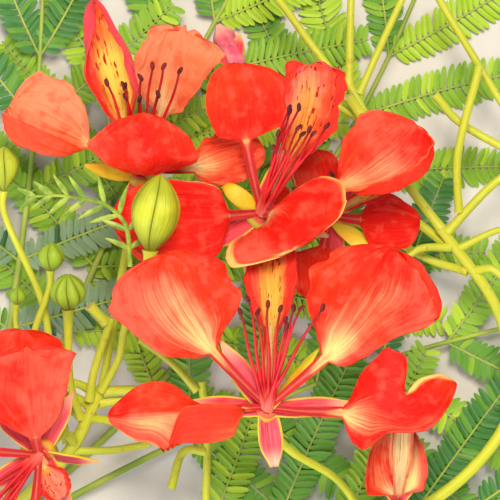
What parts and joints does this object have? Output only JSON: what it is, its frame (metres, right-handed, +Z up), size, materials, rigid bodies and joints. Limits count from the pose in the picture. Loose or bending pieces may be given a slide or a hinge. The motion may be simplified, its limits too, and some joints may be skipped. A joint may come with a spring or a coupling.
{
  "type": "flowering spray of a flame tree",
  "caption": "Cut flowering spray of a flame tree lying down, with open red-orange blooms, green buds, bare flower stalks and feathery leaves.",
  "frame": {"origin": "middle of the footprint, level with the lowest leaf", "axes": "+Z up from the surface the spray lies on, +Y up the picture and away from the cut end, +X to the right of the picture"},
  "size_m": [0.303, 0.3352, 0.0995],
  "materials": {
    "petals": "satin",
    "faded_petals": "matte",
    "buds": "satin",
    "leaves": "matte",
    "stalks": "satin",
    "bark": "matte"
  },
  "bodies": {
    "root": {"bloom_lower": "petals", "bloom_upper": "petals", "bloom_upper_left": "petals", "bloom_lower_left": "petals", "bloom_behind": "petals", "bloom_half_open": "petals", "bud_large": "buds", "bud_left": "buds", "bud_small": "buds", "bud_ribbed": "buds", "bud_tiny": "buds", "branch": "bark", "raceme_left": "stalks", "raceme_right": "stalks", "raceme_middle": "stalks", "raceme_right_end": "stalks", "raceme_top": "stalks", "stalk_lower_bloom": "stalks", "stalk_upper_bloom": "stalks", "stalk_behind": "stalks", "stalk_upper_left": "stalks", "stalk_lower_left": "stalks", "stalk_half_open": "stalks", "stalk_bud_large": "stalks", "stalk_bud_left": "stalks", "stalk_bud_small": "stalks", "stalk_bud_ribbed": "stalks", "stalk_bud_tiny": "stalks", "bare_left_1": "stalks", "bare_left_2": "stalks", "bare_left_3": "stalks", "bare_left_4": "stalks", "bare_left_5": "stalks", "bare_left_6": "stalks", "bare_left_7": "stalks", "bare_left_8": "stalks", "bare_left_9": "stalks", "bare_middle_1": "stalks", "bare_middle_2": "stalks", "bare_right_1": "stalks", "bare_right_2": "stalks", "bare_right_3": "stalks", "bare_right_4": "stalks", "bare_right_5": "stalks", "bare_right_6": "stalks", "bare_top_1": "stalks", "bare_top_2": "stalks", "bare_top_3": "stalks", "bare_top_4": "stalks", "bloom_faded": "faded_petals", "stalk_faded_bloom": "stalks", "leaf_far": "leaves", "leaf_upper": "leaves", "leaf_right": "leaves", "leaf_left": "leaves", "leaf_lower": "leaves", "leaf_young": "leaves"}
  },
  "joints": []
}
